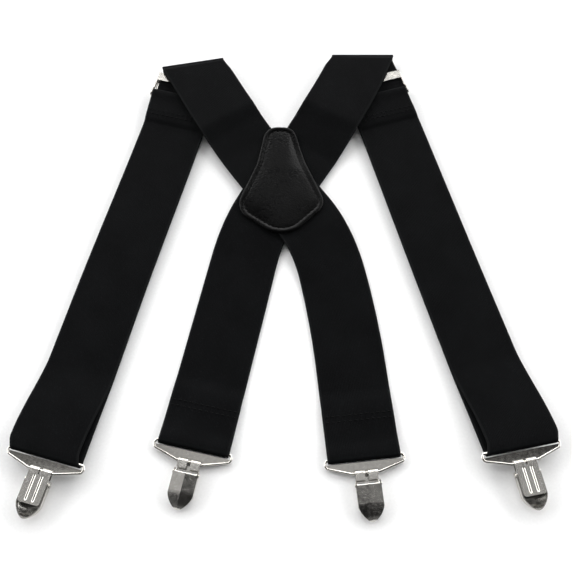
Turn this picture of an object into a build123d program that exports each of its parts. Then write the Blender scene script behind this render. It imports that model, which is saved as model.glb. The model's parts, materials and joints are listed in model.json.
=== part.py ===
"""Clip-on X-back suspenders, laid out flat with the outside of the back patch facing up.

Two elastic straps cross inside a leather patch. Each one runs from a shoulder fold, through
the patch, to a rear clip. Past its fold it comes down as a front strap, which goes round a
clip ring and back up to a sliding adjuster.

Millimetres, +Z up, +Y towards the shoulders. The origin is the centre of the patch's lower
face, on the surface that the suspenders lie on.
"""
from build123d import *
import os
from math import cos, radians, sin, tan

# ---------------------------------------------------------------- driving dimensions
WEB_WIDTH = 50.0          # elastic webbing, two inches wide
WEB_THICK = 1.3
LAYER_GAP = 0.15          # air between two layers of webbing that lie on each other
FIT = 0.05                # running clearance of every pin, rod and ring bar, in radius

LEATHER = 1.2             # inner patch leather
PATCH_RIM_TOP = 5.6       # height of the outer patch along its rim
PATCH_PAD_TOP = 7.0       # height of its padded middle
PATCH_PAD_INSET = 6.0

FRONT_Z = 1.5             # underside of the front straps, which lie on their adjusters
RETURN_Z = FRONT_Z + WEB_THICK + LAYER_GAP
ARM_Z = 7.1               # underside of the back straps where they cross over the adjusters
FOLD_Z = (FRONT_Z + ARM_Z + WEB_THICK) / 2
FOLD_OUTER = FOLD_Z - FRONT_Z

RING_BAR_R = 1.0
LOOP_INNER = RING_BAR_R + FIT
LOOP_OUTER = LOOP_INNER + WEB_THICK
REAR_BAR_Z = 2.4          # height of a rear ring's bar, in its sewn loop
FRONT_BAR_Z = 7.0         # height of a front ring's bar, in the open end of the front strap

FRONT_FREE = 80.0         # end of the front strap that travels with its ring
RETURN_JOIN = 62.0        # where that end meets the returning layer

# Each back strap: centre of its shoulder fold, first heading in degrees from +X, legs of
# (length, turn to the left in degrees) that end at the rear ring's bar, heading where the
# straps cross, and levels. A level is (distance back up the strap from the crossing, height
# of the underside). The left strap crosses over the right one.
CROSSING = (1.0, -8.0)
BACK_STRAPS = {
    "left": {
        "start": (-74.0, 108.6), "heading": -60.7, "cross_heading": -57.0,
        "legs": [(38, 0), (74, 6.7), (51, 0), (57, -23.6), (74, -6.4), (65, 0)],
        "levels": [
            (200, ARM_Z), (79, ARM_Z), (67, 4.3), (45, 2.75), (-44, 2.75), (-80, 0), (-300, 0),
        ],
    },
    "right": {
        "start": (68.4, 117.7), "heading": -115.5, "cross_heading": -119.0,
        "legs": [(28, 0), (69, -6.5), (55, 0), (60, 19.4), (144, 0)],
        "levels": [(200, ARM_Z), (78, ARM_Z), (65, 4.4), (42, 1.25), (-44, 1.25), (-67, 0), (-300, 0)],
    },
}

# Each front strap: centre of its fold, angle of the fold line, heading, length to the
# ring's bar, angle between the bar and a line square across the strap, and distance from the
# fold to the middle of the adjuster.
FRONT_STRAPS = {
    "left": {
        "fold": (-74.5, 108.4), "fold_angle": 10.5, "heading": -104.4,
        "length": 336.0, "bar_slant": -1.0, "adjuster": 23.0,
    },
    "right": {
        "fold": (67.4, 116.2), "fold_angle": 0.0, "heading": -73.9,
        "length": 340.5, "bar_slant": -5.0, "adjuster": 29.4,
    },
}
FOLD_LENGTH = 51.6
FOLD_TAPER = 22.0         # the front strap reaches its full width this far below its fold

REAR_TAIL = 34.0          # webbing turned back and sewn under at each rear ring
REAR_LOOP = 50.0          # stretch of a rear strap that is shaped by its ring
FRONT_WEDGE = 60.0        # stretch where the two layers of a front strap draw together
LOOP_FLAT = 5.0           # the webbing stays level this far past the top of a ring's bar
LOOP_FALL = 14.0          # and lies on its sewn tail from here on
TAIL_STEP = 2.0           # stretch where a layer steps down past the end of a tail

# Outline of the back patch: corner and corner radius
PATCH_CORNERS = [
    ((-13.2, 47.8), 12), ((9.3, 47.8), 10), ((18.6, 14.5), 30), ((34.6, -23.5), 13),
    ((2, -54), 22), ((-36.8, -27), 15), ((-20, 13), 30),
]
STITCH = (2.6, 0.6, 0.3)  # length, width and height of a stitch
STITCH_PITCH = 4.0
PATCH_STITCH_INSET = 4.2
SEAM_HALF = 22.0          # seams across a strap reach this far from its centre line
SEAM_STITCHES = 11
REAR_SEAMS = (26.0, 30.0)
HEM_SEAMS = (-27.0, -30.5)

# Clip: y runs from the ring's upper bar (0) down to the lever's tip, z towards the lever
RING_BAR_HALF = 25.9
RING_WIRE_R = 0.85
RING_END = (27.4, -2.4)   # widest point of the ring's end
RING_CORNER = (26.2, -5.2)
RING_SLOT_Y = -3.1        # lower side of the slot that the webbing passes through
RING_PLATE = 0.9
PIVOT_Y = -10.4           # round bar that the clip's fingers hook over
PIVOT_HALF = 9.5
WINDOW = (0.9, 8.1, 2.0)  # inner x, outer x and height above the pivot bar

SHEET = 0.8               # clip base, lever and ring sheet metal
HOOK_INNER = RING_WIRE_R + 0.07
HOOK_OUTER = HOOK_INNER + SHEET
BASE_HALF = 7.7
BASE_END = -22.5          # from here on, y is measured from the pivot bar
FINGER_X = 1.2
FINGER_LEG = 5.0
FINGER_SLOT = (-2.6, -0.9)   # slot between the fingers, and where the plate turns into them
BASE_CORNER = 2.0
GROOVE = {"x": 2.6, "radius": 1.2, "depth": 0.45, "top": -4.0, "bottom": -20.0}
EAR_HALF = (6.9, 7.7)
EAR_R = 1.35
PIN_Y = -8.3
PIN_Z = 2.2
PIN_R = 0.8
LEVER_HALF = 8.6
LEVER_WALL = 0.7
LEVER_KNUCKLE = 2.9
LEVER_RIDGE = 3.8         # height of the lever's centre crease above the pin
LEVER_FALL = 0.2          # slope of the two faces beside the crease
LEVER_SHOULDER = -22.5    # where the lever starts to narrow
LEVER_TIP = -32.3
LEVER_BOTTOM = -0.6
LEVER_BEND = (2.0, 0.6)   # the crease drops by the second size this far above the shoulder
LEVER_NOSE = 2.9          # height of the rounded nose
PIN_HEAD = (1.3, 0.2)     # radius and half thickness
CAM_X = (4.6, 6.5)
CAM_Y = (-10.6, -9.25)
LEAF_THICK = 0.5
LEAF_Z = 0.55
LEAF_HALF = 6.4
LEAF_HINGE = (-6.9, -0.45)
LEAF_FOOT_HALF = 0.3
LEAF_MARGIN = 0.5         # the leaf ends this far short of the base plate
RIB_PITCH = 1.6           # grooves between the ribs of a jaw pad
RIB_GROOVE = (0.25, 0.2)  # half width and depth
PAD_Y = (-22.0, -15.5)
PAD_HALF = 6.0

# Adjuster: y from its middle towards the shoulder
FLANGE_X = (25.5, 26.3)
PLATE_Y = (3.6, 11.0)
PLATE_THICK = 0.8
ROD_Y = -9.0
ROD_R = 0.6
HEM_INNER = ROD_R + FIT
HEM_OUTER = HEM_INNER + WEB_THICK
ROD_Z = RETURN_Z + HEM_OUTER
HEM_FALL = 8.0            # the hem lies on its tail this far below the rod
HEM_END = -40.0
HEM_TAIL = -32.0
ROD_COVER = 1.1           # flange above the rod
HUMP_HALF = 2.5           # half length of the flange's hump over the rod
HUMP_START = 6.0          # the hump begins this far above the rod
FLANGE_FOOT = 4.0         # the flange ends this far below the rod
FLANGE_LIFT = (3.2, 1.6)  # underside of the flange at its foot and at the start of the hump
FLANGE_BEVEL = 1.0
CLAMP_Y = 7.0
CLAMP_Z = 0.8
CLAMP_THICK = 0.8
TRUNNION_R = 0.4
CLAMP_HALF = 25.1
CLAMP_TIP = -8.5
CLAMP_CORNER = 5.0
THUMB_HOLE = (18.0, 4.0)  # length and width
THUMB_HOLE_Y = -2.0
TOOTH_PITCH = 4
TOOTH_HALF = (0.9, 0.4)   # half width across the strap, and half thickness along it
TEETH = 12

BEYOND = 60.0             # reach of cutting blocks past what they cut
SLAB_HALF = 250.0         # half width of slabs that are cut to a strap's outline


# ---------------------------------------------------------------- helpers
def direction(angle):
    """Unit vector at an angle in the XY plane."""
    return Vector(cos(radians(angle)), sin(radians(angle)))


def leg_point(start, heading, leg, offset, fraction):
    """Point beside a leg of a path, at a fraction of its length and an offset to its left."""
    length, turn = leg
    if turn == 0:
        return start + direction(heading) * (length * fraction) + direction(heading + 90) * offset
    radius = length / radians(turn)
    centre = start + direction(heading + 90) * radius
    return centre - direction(heading + turn * fraction + 90) * (radius - offset)


def ribbon_face(start, heading, legs, width):
    """Flat face of a strap that follows straight and curved legs."""
    point = Vector(*start)
    sides = {width / 2: [], -width / 2: []}
    for leg in legs:
        for offset, edges in sides.items():
            first, middle, last = (leg_point(point, heading, leg, offset, f) for f in (0, 0.5, 1))
            edges.append(Line(first, last) if leg[1] == 0 else ThreePointArc(first, middle, last))
        point, heading = leg_point(point, heading, leg, 0, 1), heading + leg[1]
    left, right = sides.values()
    ends = [Line(left[0] @ 0, right[0] @ 0), Line(left[-1] @ 1, right[-1] @ 1)]
    return make_face(left + right + ends)


def path_end(strap):
    """Last point and heading of a back strap."""
    point, heading = Vector(*strap["start"]), strap["heading"]
    for leg in strap["legs"]:
        point, heading = leg_point(point, heading, leg, 0, 1), heading + leg[1]
    return point, heading


def push_sideways(face, half_width, slant=0):
    """Solid from a face in the YZ plane, pushed both ways along x with a slant in degrees."""
    run = Vector(cos(radians(slant)), sin(radians(slant)), 0)
    return extrude(face, amount=half_width / cos(radians(slant)), dir=run, both=True)


def side_prism(points, half_width, slant=0):
    """Prism with the profile given as (y, z) points, centred on x = 0."""
    face = make_face(Polyline(*[(0, y, z) for y, z in points], close=True))
    return push_sideways(face, half_width, slant)


def half_ring(centre, inner, outer, half_width, side, slant=0):
    """Half of a tube along x, on the side of y = centre where side points (+1 or -1)."""
    y, z = centre
    arcs = []
    for radius in (inner, outer):
        ends = [(0, y, z + radius), (0, y + side * radius, z), (0, y, z - radius)]
        arcs.append(ThreePointArc(*ends))
    walls = [Line(arcs[0] @ end, arcs[1] @ end) for end in (0, 1)]
    return push_sideways(make_face(arcs + walls), half_width, slant)


def rod_x(radius, half_length, y, z):
    """Round rod along x."""
    return Pos(0, y, z) * Rot(0, 90, 0) * Cylinder(radius, 2 * half_length)


def block(x, y, z):
    """Box given by its (low, high) pairs."""
    size = [high - low for low, high in (x, y, z)]
    return Pos(*[(low + high) / 2 for low, high in (x, y, z)]) * Box(*size)


def pair(shape):
    """A shape and its mirror image across x = 0."""
    return shape + mirror(shape, about=Plane.YZ)


def local_frame(origin, heading, z, flipped=False, slant=0):
    """Frame at a point of a strap: y back up the strap, z towards the clip's lever."""
    x_axis = direction(heading + 90 + slant)
    z_axis = Vector(0, 0, 1)
    if flipped:
        x_axis, z_axis = x_axis * -1, z_axis * -1
    return Plane(origin=(origin.X, origin.Y, z), x_dir=x_axis, z_dir=z_axis)


def place(plane, shape):
    """Move a shape from local coordinates to a frame."""
    return plane.location * shape


def strap_point(strap, distance):
    """Point on a front strap's centre line, at a distance from its fold."""
    return Vector(*strap["fold"]) + direction(strap["heading"]) * distance


def seams(rows, z):
    """Rows of separate stitches across a strap, at the given y."""
    pitch = 2 * SEAM_HALF / (SEAM_STITCHES - 1)
    middles = [(i * pitch - SEAM_HALF, y, z + STITCH[2] / 2) for y in rows for i in range(SEAM_STITCHES)]
    return Compound(children=[Pos(*middle) * Box(*STITCH) for middle in middles])


# ---------------------------------------------------------------- back patch
def patch_outline():
    points = [point for point, _ in PATCH_CORNERS]
    radii = [radius for _, radius in PATCH_CORNERS]
    return make_face(FilletPolyline(*points, radius=radii, close=True))


def patch_inner():
    return extrude(patch_outline(), amount=LEATHER)


def patch_outer(crossing):
    """Padded leather cover, hollow underneath where the two straps pass through."""
    outline = patch_outline()
    rim_bottom = LEATHER + FIT
    cover = Pos(0, 0, rim_bottom) * extrude(outline, amount=PATCH_RIM_TOP - rim_bottom)
    pad_face = offset(outline, amount=-PATCH_PAD_INSET, kind=Kind.ARC)
    pad = Pos(0, 0, PATCH_RIM_TOP) * extrude(pad_face, amount=PATCH_PAD_TOP - PATCH_RIM_TOP, taper=35)
    return cover + pad - crossing


def patch_stitching():
    """Lock stitches along the rim of the patch."""
    seam = offset(patch_outline(), amount=-PATCH_STITCH_INSET, kind=Kind.ARC).face().outer_wire()
    count = round(seam.length / STITCH_PITCH)
    stitches = []
    for i in range(count):
        point = seam.position_at(i / count)
        tangent = seam.tangent_at(i / count)
        middle = (point.X, point.Y, PATCH_RIM_TOP + STITCH[2] / 2)
        frame = Plane(origin=middle, x_dir=tangent, z_dir=(0, 0, 1))
        stitches.append(place(frame, Box(*STITCH)))
    return Compound(children=stitches)


# ---------------------------------------------------------------- webbing
def level_slab(levels, half_width=SLAB_HALF, slant=0):
    """Layer of webbing that follows (y, z) levels of its underside."""
    upper = [(y, z + WEB_THICK) for y, z in reversed(levels)]
    return side_prism(levels + upper, half_width, slant)


def rear_loop():
    """End of a back strap, turned round the ring's bar and sewn under; bar at the origin."""
    half = WEB_WIDTH / 2
    over_tail = -LOOP_INNER + LAYER_GAP
    levels = [(0, LOOP_INNER), (LOOP_FLAT, LOOP_INNER), (LOOP_FALL, over_tail)]
    levels += [(REAR_TAIL + TAIL_STEP, over_tail), (REAR_LOOP - TAIL_STEP, -REAR_BAR_Z)]
    levels += [(REAR_LOOP, -REAR_BAR_Z)]
    upper = level_slab(levels, half)
    tail = block((-half, half), (0, REAR_TAIL), (-LOOP_OUTER, -LOOP_INNER))
    return upper + tail + half_ring((0, 0), LOOP_INNER, LOOP_OUTER, half, -1)


def at_crossing(strap, slab):
    """Slab turned so that its +y points back up a strap from the crossing."""
    return Pos(*CROSSING, 0) * Rot(0, 0, strap["cross_heading"] + 90) * slab


def crossing_room(strap):
    """Everything below the top of a back strap, which the outer patch leaves free."""
    face = ribbon_face(strap["start"], strap["heading"], strap["legs"], WEB_WIDTH + 4 * FIT)
    top = [(y, z + WEB_THICK + FIT) for y, z in strap["levels"]]
    below = side_prism(top + [(top[-1][0], -1), (top[0][0], -1)], SLAB_HALF)
    return extrude(face, amount=2 * PATCH_PAD_TOP) & at_crossing(strap, below)


def back_webbing(strap, fold, frame):
    """One strap from its shoulder fold, through the patch, to its rear ring."""
    lead_in = BEYOND / 4
    heading = strap["heading"]
    before = Vector(*strap["start"]) - direction(heading) * lead_in
    first_length, first_turn = strap["legs"][0]
    last_length, last_turn = strap["legs"][-1]
    legs = [(first_length + lead_in, first_turn), *strap["legs"][1:-1], (last_length - REAR_LOOP, last_turn)]
    face = ribbon_face((before.X, before.Y), heading, legs, WEB_WIDTH)
    ribbon = extrude(face, amount=2 * ARM_Z) & at_crossing(strap, level_slab(strap["levels"]))
    beyond_fold = place(fold, block((-BEYOND, BEYOND), (0, BEYOND), (-BEYOND, BEYOND)))
    return (ribbon - beyond_fold) + place(frame, rear_loop())


def shoulder_bend(fold):
    """Half turn of webbing at the shoulder fold."""
    bend = half_ring((0, 0), FOLD_OUTER - WEB_THICK, FOLD_OUTER, FOLD_LENGTH / 2, 1)
    return place(fold, bend)


def front_webbing(strap, fold):
    """Front strap from its fold to the end that travels with the ring."""
    end = strap["length"] - FRONT_FREE
    across = direction(strap["heading"] + 90) * (WEB_WIDTH / 2)
    along_fold = direction(strap["fold_angle"]) * (FOLD_LENGTH / 2)
    fold_point = Vector(*strap["fold"])
    shoulder = strap_point(strap, FOLD_TAPER)
    last = strap_point(strap, end)
    last_across = across - direction(strap["heading"]) * (WEB_WIDTH / 2 * tan(radians(strap["bar_slant"])))
    corners = [fold_point - along_fold, fold_point + along_fold, shoulder + across, last + last_across]
    corners += [last - last_across, shoulder - across]
    face = make_face(Polyline(*corners, close=True))
    return Pos(0, 0, FRONT_Z) * extrude(face, amount=WEB_THICK)


def front_loop(slant):
    """Open end of a front strap, round its ring's slanting bar; bar at the origin."""
    half = WEB_WIDTH / 2
    low = FRONT_Z - FRONT_BAR_Z
    high = RETURN_Z - FRONT_BAR_Z
    lower = [(0, -LOOP_OUTER), (LOOP_FLAT, -LOOP_OUTER), (FRONT_WEDGE, low), (FRONT_FREE - FIT, low)]
    upper = [(0, LOOP_INNER), (LOOP_FLAT, LOOP_INNER), (FRONT_WEDGE, high), (RETURN_JOIN, high)]
    turn = half_ring((0, 0), LOOP_INNER, LOOP_OUTER, half, -1, slant)
    return level_slab(lower, half, slant) + level_slab(upper, half, slant) + turn


def return_webbing(strap):
    """Layer that comes back up from the ring to the adjuster's sewn end."""
    half = WEB_WIDTH / 2
    length = strap["length"] - RETURN_JOIN - (strap["adjuster"] - HEM_END) - 2 * FIT
    drop = half * tan(radians(strap["bar_slant"]))
    corners = [(-half, 0), (half, 0), (half, drop - length), (-half, -drop - length)]
    return Pos(0, 0, RETURN_Z) * extrude(make_face(Polyline(*corners, close=True)), amount=WEB_THICK)


def hem_webbing():
    """Sewn end of the webbing, round the adjuster's rod."""
    half = WEB_WIDTH / 2
    tail_top = RETURN_Z + WEB_THICK
    over_tail = tail_top + LAYER_GAP
    rod_top = ROD_Z + HEM_INNER
    levels = [(ROD_Y, rod_top), (ROD_Y - TAIL_STEP, rod_top), (ROD_Y - HEM_FALL, over_tail)]
    levels += [(HEM_TAIL - TAIL_STEP, over_tail), (HEM_END + TAIL_STEP, RETURN_Z), (HEM_END, RETURN_Z)]
    tail = block((-half, half), (HEM_TAIL, ROD_Y), (RETURN_Z, tail_top))
    return level_slab(levels, half) + tail + half_ring((ROD_Y, ROD_Z), HEM_INNER, HEM_OUTER, half, 1)


# ---------------------------------------------------------------- adjuster
def adjuster_frame():
    """Bright plate across the strap, two side flanges and the rod that holds the hem."""
    plate_top = RETURN_Z + PLATE_THICK
    plate = block((-FLANGE_X[1], FLANGE_X[1]), PLATE_Y, (RETURN_Z, plate_top))
    rod_top = ROD_Z + ROD_COVER
    top_y = PLATE_Y[1]
    profile = [
        (top_y, FLANGE_BEVEL), (top_y, plate_top), (ROD_Y + HUMP_START, plate_top),
        (ROD_Y + HUMP_HALF, rod_top), (ROD_Y - HUMP_HALF, rod_top), (ROD_Y - FLANGE_FOOT, ROD_Z),
        (ROD_Y - FLANGE_FOOT, FLANGE_LIFT[0]), (ROD_Y + HUMP_START, FLANGE_LIFT[1]),
        (CLAMP_Y - 3 * FLANGE_BEVEL, 0), (top_y - FLANGE_BEVEL, 0),
    ]
    flange = side_prism(profile, (FLANGE_X[1] - FLANGE_X[0]) / 2)
    flange = Pos((FLANGE_X[0] + FLANGE_X[1]) / 2, 0, 0) * flange
    rod = rod_x(ROD_R, FLANGE_X[1], ROD_Y, ROD_Z)
    holes = rod_x(TRUNNION_R + FIT, FLANGE_X[1] + 1, CLAMP_Y, CLAMP_Z)
    return plate + pair(flange) + rod - holes


def adjuster_clamp():
    """Toothed plate that swings down to free the strap."""
    low, high = CLAMP_Z - CLAMP_THICK / 2, CLAMP_Z + CLAMP_THICK / 2
    plate = block((-CLAMP_HALF, CLAMP_HALF), (CLAMP_TIP, CLAMP_Y + TRUNNION_R), (low, high))
    plate = fillet(plate.edges().filter_by(Axis.Z).group_by(Axis.Y)[0], CLAMP_CORNER)
    thumb_hole = extrude(SlotOverall(*THUMB_HOLE), amount=CLAMP_THICK, both=True)
    trunnions = rod_x(TRUNNION_R, FLANGE_X[1] - 0.1, CLAMP_Y, CLAMP_Z)
    half_width, half_depth = TOOTH_HALF
    profile = [(CLAMP_Y - half_depth, high), (CLAMP_Y + half_depth, high), (CLAMP_Y, FRONT_Z - FIT)]
    tooth = side_prism(profile, half_width)
    teeth = [Pos((i - (TEETH - 1) / 2) * TOOTH_PITCH, 0, 0) * tooth for i in range(TEETH)]
    return plate - Pos(0, THUMB_HOLE_Y, CLAMP_Z) * thumb_hole + trunnions + teeth


# ---------------------------------------------------------------- clip
def clip_ring():
    """Stamped ring: upper bar in the webbing, side wires, and a crescent plate below."""
    pivot_end = (PIVOT_HALF, PIVOT_Y)
    right = [(RING_BAR_HALF, 0), RING_END, RING_CORNER, pivot_end]
    outline = right + [(-x, y) for x, y in reversed(right)]
    route = FilletPolyline(*outline, radius=2.0)
    wire = sweep(Plane(origin=route @ 0, z_dir=route % 0) * Circle(RING_WIRE_R), path=route)
    corners = [(RING_END[0] - 0.2, RING_SLOT_Y), RING_CORNER, pivot_end]
    corners += [(-x, y) for x, y in reversed(corners)]
    plate = extrude(make_face(Polyline(*corners, close=True)), amount=RING_PLATE / 2, both=True)
    inner, outer, height = WINDOW
    window = block((inner, outer), (PIVOT_Y - 1, PIVOT_Y + height), (-2, 2))
    upper_bar = rod_x(RING_BAR_R, RING_BAR_HALF, 0, 0)
    bar_ends = pair(Pos(RING_BAR_HALF, 0, 0) * Sphere(RING_BAR_R))
    return plate - pair(window) + wire + (upper_bar + bar_ends)


def clip_base():
    """Grooved back plate with two fingers hooked over the ring and two ears for the pin."""
    slot_y, turn_y = FINGER_SLOT
    plate = block((-BASE_HALF, BASE_HALF), (BASE_END, turn_y), (-HOOK_OUTER, -HOOK_INNER))
    plate = fillet(plate.edges().filter_by(Axis.Z).group_by(Axis.Y)[0], BASE_CORNER)
    plate -= block((-FINGER_X, FINGER_X), (slot_y, 0), (-2 * HOOK_OUTER, 0))
    radius, ends = GROOVE["radius"], (GROOVE["top"], GROOVE["bottom"])
    groove = Rot(90, 0, 0) * Cylinder(radius, ends[0] - ends[1])
    groove = Pos(0, sum(ends) / 2, 0) * groove + [Pos(0, y, 0) * Sphere(radius) for y in ends]
    plate -= pair(Pos(GROOVE["x"], 0, GROOVE["depth"] - radius - HOOK_OUTER) * groove)
    finger_half = (BASE_HALF - FINGER_X) / 2
    hook = half_ring((0, 0), HOOK_INNER, HOOK_OUTER, finger_half, 1)
    hook += block((-finger_half, finger_half), (turn_y - FIT, 0), (-HOOK_OUTER, -HOOK_INNER))
    hook += block((-finger_half, finger_half), (-FINGER_LEG, 0), (HOOK_INNER, HOOK_OUTER))
    fingers = pair(Pos((BASE_HALF + FINGER_X) / 2, 0, 0) * hook)
    ear = block(EAR_HALF, (PIN_Y - EAR_R, PIN_Y + EAR_R), (-HOOK_OUTER + SHEET / 2, PIN_Z))
    ear += Pos(sum(EAR_HALF) / 2, 0, 0) * rod_x(EAR_R, SHEET / 2, PIN_Y, PIN_Z)
    return plate + fingers + pair(ear) - rod_x(PIN_R, BASE_HALF + 1, PIN_Y, PIN_Z)


def clip_pin():
    """Riveted pin through the ears and the lever's side walls."""
    head_start = LEVER_HALF + FIT
    radius, half_thick = PIN_HEAD
    head = Pos(head_start + half_thick, 0, 0) * rod_x(radius, half_thick, PIN_Y, PIN_Z)
    return rod_x(PIN_R, head_start + half_thick, PIN_Y, PIN_Z) + pair(head)


def bullet(half_width, top, tip):
    """Upright prism on the lever's plan: straight sides and a pointed, rounded end."""
    shoulder = LEVER_SHOULDER
    side = Polyline((0, top), (half_width, top), (half_width, shoulder))
    taper = [(half_width - 0.9, shoulder - 4.4), (half_width * 0.36, tip)]
    nose = Bezier((half_width, shoulder), *taper, (0, tip))
    half = make_face([*side.edges(), nose, Line((0, tip), (0, top))])
    plan = half + mirror(half, about=Plane.YZ)
    return Pos(0, 0, -15) * extrude(plan, amount=40)


def lever_body(inset, bottom, half_width):
    """Solid under the lever's crease line, with two faces that fall away from the crease."""
    top = PIN_Z + LEVER_RIDGE - inset
    tip = LEVER_TIP + inset
    start = (0, PIN_Y + LEVER_KNUCKLE, top)
    bend_y, drop = LEVER_BEND
    bend = (0, LEVER_SHOULDER + bend_y, top - drop)
    ahead = (0, LEVER_SHOULDER - 2 * bend_y, top - 1.7 * drop)
    nose = Bezier(bend, ahead, (0, tip, LEVER_NOSE - inset), (0, tip, bottom))
    lower = Polyline((0, tip, bottom), (0, start[1], bottom), start)
    profile = make_face([Line(start, bend), nose, *lower.edges()])
    half = extrude(profile, amount=half_width * 1.1, dir=(1, 0, -LEVER_FALL))
    return pair(half) & block((-half_width, half_width), (-40, 0), (bottom, 20))


def clip_lever():
    """Bullet-shaped cover that turns on the pin and carries the two cams."""
    inner_half = LEVER_HALF - LEVER_WALL
    upper_end = PIN_Y + LEVER_KNUCKLE
    solid = lever_body(0, LEVER_BOTTOM, LEVER_HALF) & bullet(LEVER_HALF, upper_end, LEVER_TIP)
    inner_plan = bullet(inner_half, upper_end + 1, LEVER_TIP + LEVER_WALL)
    hollow = lever_body(LEVER_WALL, LEVER_BOTTOM - 4, inner_half) & inner_plan
    hollow += block((-inner_half, inner_half), (PIN_Y - 0.1, 0), (-5, 20))
    walls = rod_x(LEVER_KNUCKLE, LEVER_HALF, PIN_Y, PIN_Z)
    walls += block((-LEVER_HALF, LEVER_HALF), (-40, PIN_Y), (-5, 20))
    cam = block(CAM_X, CAM_Y, (LEAF_Z + LEAF_THICK + FIT, PIN_Z + LEVER_KNUCKLE - LEVER_WALL))
    return (solid & walls) - hollow + pair(cam) - rod_x(PIN_R + FIT, LEVER_HALF + 1, PIN_Y, PIN_Z)


def clip_leaf():
    """Spring leaf that carries the upper jaw; its foot is where it flexes."""
    foot_y, foot_z = LEAF_HINGE
    top = LEAF_Z + LEAF_THICK
    upper_y, lower_y = foot_y + LEAF_FOOT_HALF, foot_y - LEAF_FOOT_HALF
    end_y = BASE_END + LEAF_MARGIN
    profile = [
        (upper_y, foot_z), (upper_y, LEAF_Z / 2), (lower_y, top), (end_y, top),
        (end_y, LEAF_Z), (foot_y - LEAF_MARGIN, LEAF_Z), (lower_y, LEAF_Z / 3), (lower_y, foot_z),
    ]
    return side_prism(profile, LEAF_HALF) + rod_x(TRUNNION_R, LEAF_HALF, foot_y, foot_z)


def jaw_pad(low, high, groove_z):
    """Ribbed plastic grip; the ribs face the other jaw."""
    pad = block((-PAD_HALF, PAD_HALF), PAD_Y, (low, high))
    half_width, depth = RIB_GROOVE
    for i in range(1, 4):
        y = PAD_Y[0] + i * RIB_PITCH
        groove = (y - half_width, y + half_width), (groove_z - depth, groove_z + depth)
        pad -= block((-LEAF_HALF, LEAF_HALF), *groove)
    return pad


CLIP_PIECES = {
    "clip_base": clip_base(),
    "clip_pin": clip_pin(),
    "clip_lever": clip_lever(),
    "jaw_leaf": clip_leaf(),
    "base_jaw_pad": jaw_pad(-HOOK_INNER, -0.2, -0.2),
    "leaf_jaw_pad": jaw_pad(-0.1, LEAF_Z, -0.1),
}


# ---------------------------------------------------------------- assembly
def clip_nodes(name, frame):
    """All pieces of one clip, at the frame of its ring's upper bar."""
    nodes = {f"{name}_clip_ring": place(frame, clip_ring())}
    for piece, shape in CLIP_PIECES.items():
        nodes[f"{name}_{piece}"] = place(frame, Pos(0, PIVOT_Y, 0) * shape)
    return nodes


def front_nodes(side, strap, fold):
    """One front strap with its adjuster and clip."""
    heading = strap["heading"]
    slant = strap["bar_slant"]
    bar_middle = strap_point(strap, strap["length"])
    bar = local_frame(bar_middle, heading, FRONT_BAR_Z)
    clip = local_frame(bar_middle, heading, FRONT_BAR_Z, flipped=True, slant=slant)
    adjuster = local_frame(strap_point(strap, strap["adjuster"]), heading, 0)
    below_hem = local_frame(strap_point(strap, strap["adjuster"] - HEM_END + FIT), heading, 0)
    hem_top = RETURN_Z + 2 * WEB_THICK + LAYER_GAP
    nodes = {
        f"{side}_shoulder_bend": shoulder_bend(fold),
        f"{side}_front_webbing": front_webbing(strap, fold),
        f"{side}_front_loop_webbing": place(bar, front_loop(slant)),
        f"{side}_front_return_webbing": place(below_hem, return_webbing(strap)),
        f"{side}_front_hem_webbing": place(adjuster, hem_webbing()),
        f"{side}_front_hem_stitching": place(adjuster, seams(HEM_SEAMS, hem_top)),
        f"{side}_adjuster_frame": place(adjuster, adjuster_frame()),
        f"{side}_adjuster_clamp": place(adjuster, adjuster_clamp()),
    }
    nodes.update(clip_nodes(f"{side}_front", clip))
    return nodes


def build():
    folds = {}
    for side, strap in FRONT_STRAPS.items():
        along = direction(strap["fold_angle"])
        folds[side] = Plane(origin=(*strap["fold"], FOLD_Z), x_dir=along, z_dir=(0, 0, 1))

    # The strap from the left shoulder ends at the right rear clip, and the other way round.
    left_end, left_heading = path_end(BACK_STRAPS["left"])
    right_end, right_heading = path_end(BACK_STRAPS["right"])
    right_rear = local_frame(left_end, left_heading, REAR_BAR_Z)
    left_rear = local_frame(right_end, right_heading, REAR_BAR_Z)
    crossing = crossing_room(BACK_STRAPS["left"]) + crossing_room(BACK_STRAPS["right"])
    rear_seams = seams(REAR_SEAMS, LAYER_GAP + WEB_THICK - LOOP_INNER)

    nodes = {
        "back_patch_inner": patch_inner(),
        "back_patch_outer": patch_outer(crossing),
        "back_patch_stitching": patch_stitching(),
        "left_back_webbing": back_webbing(BACK_STRAPS["left"], folds["left"], right_rear),
        "right_back_webbing": back_webbing(BACK_STRAPS["right"], folds["right"], left_rear),
        "right_rear_stitching": place(right_rear, rear_seams),
        "left_rear_stitching": place(left_rear, rear_seams),
    }
    for side, strap in FRONT_STRAPS.items():
        nodes.update(front_nodes(side, strap, folds[side]))
    nodes.update(clip_nodes("left_rear", left_rear))
    nodes.update(clip_nodes("right_rear", right_rear))
    return nodes


os.makedirs("parts", exist_ok=True)
for node, shape in build().items():
    export_step(shape, f"parts/{node}.step")
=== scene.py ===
import json
from math import atan2, cos, pi, radians, sin

import bmesh
import bpy
from mathutils import Matrix, Vector, noise


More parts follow.
